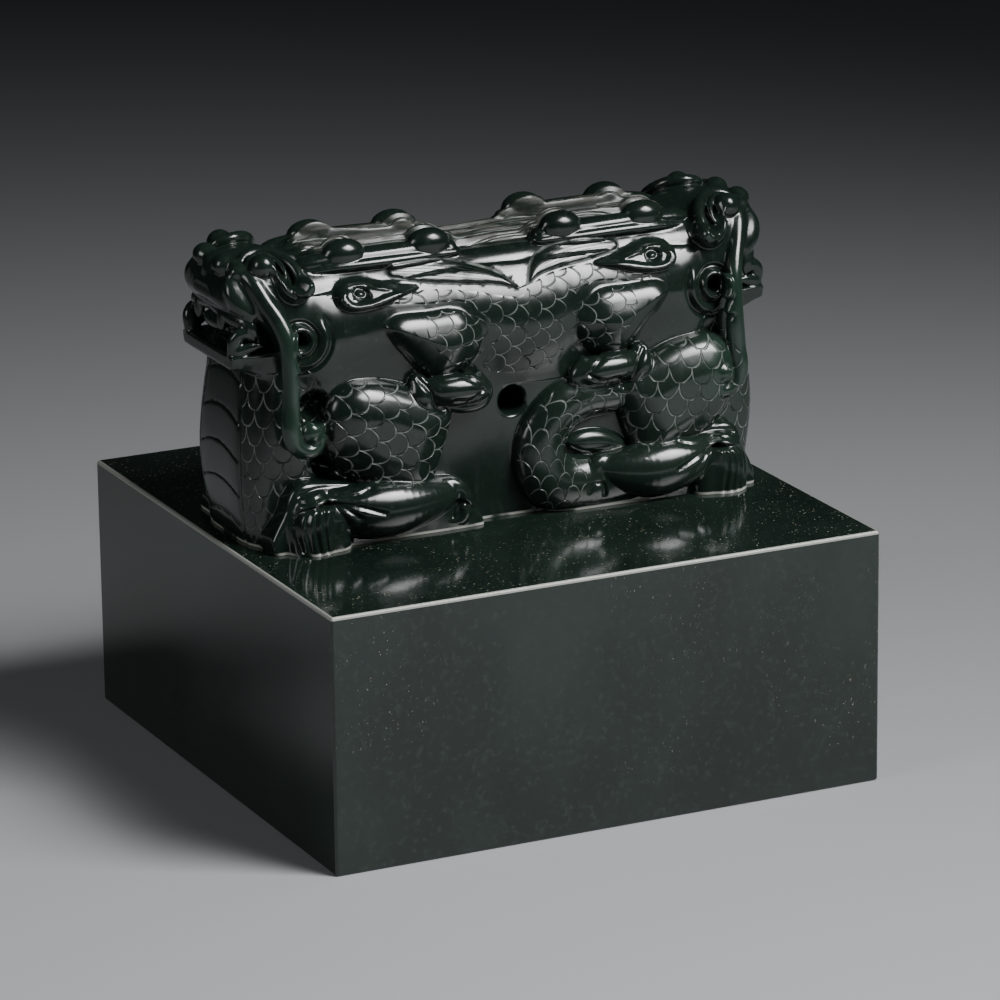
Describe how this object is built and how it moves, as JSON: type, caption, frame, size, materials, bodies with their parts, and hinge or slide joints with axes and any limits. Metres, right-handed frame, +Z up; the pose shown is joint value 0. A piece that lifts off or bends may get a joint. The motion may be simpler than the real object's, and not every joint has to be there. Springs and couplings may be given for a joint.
{
  "type": "stone seal",
  "caption": "Square polished green stone seal with a knob carved as joined dragons that face away from each other, and a cord hole through the middle of the knob.",
  "frame": {"origin": "centre of the square underside, the seal face", "axes": "+X along the knob from one dragon's head to the other, +Y from the pictured wall to the one behind it along the cord hole, +Z up"},
  "size_m": [0.1088, 0.108, 0.1023],
  "materials": {
    "nephrite": "polished dark green nephrite, nearly black, with paler mottling and fine pale pits"
  },
  "bodies": {
    "root": {"seal": "nephrite"}
  },
  "joints": []
}
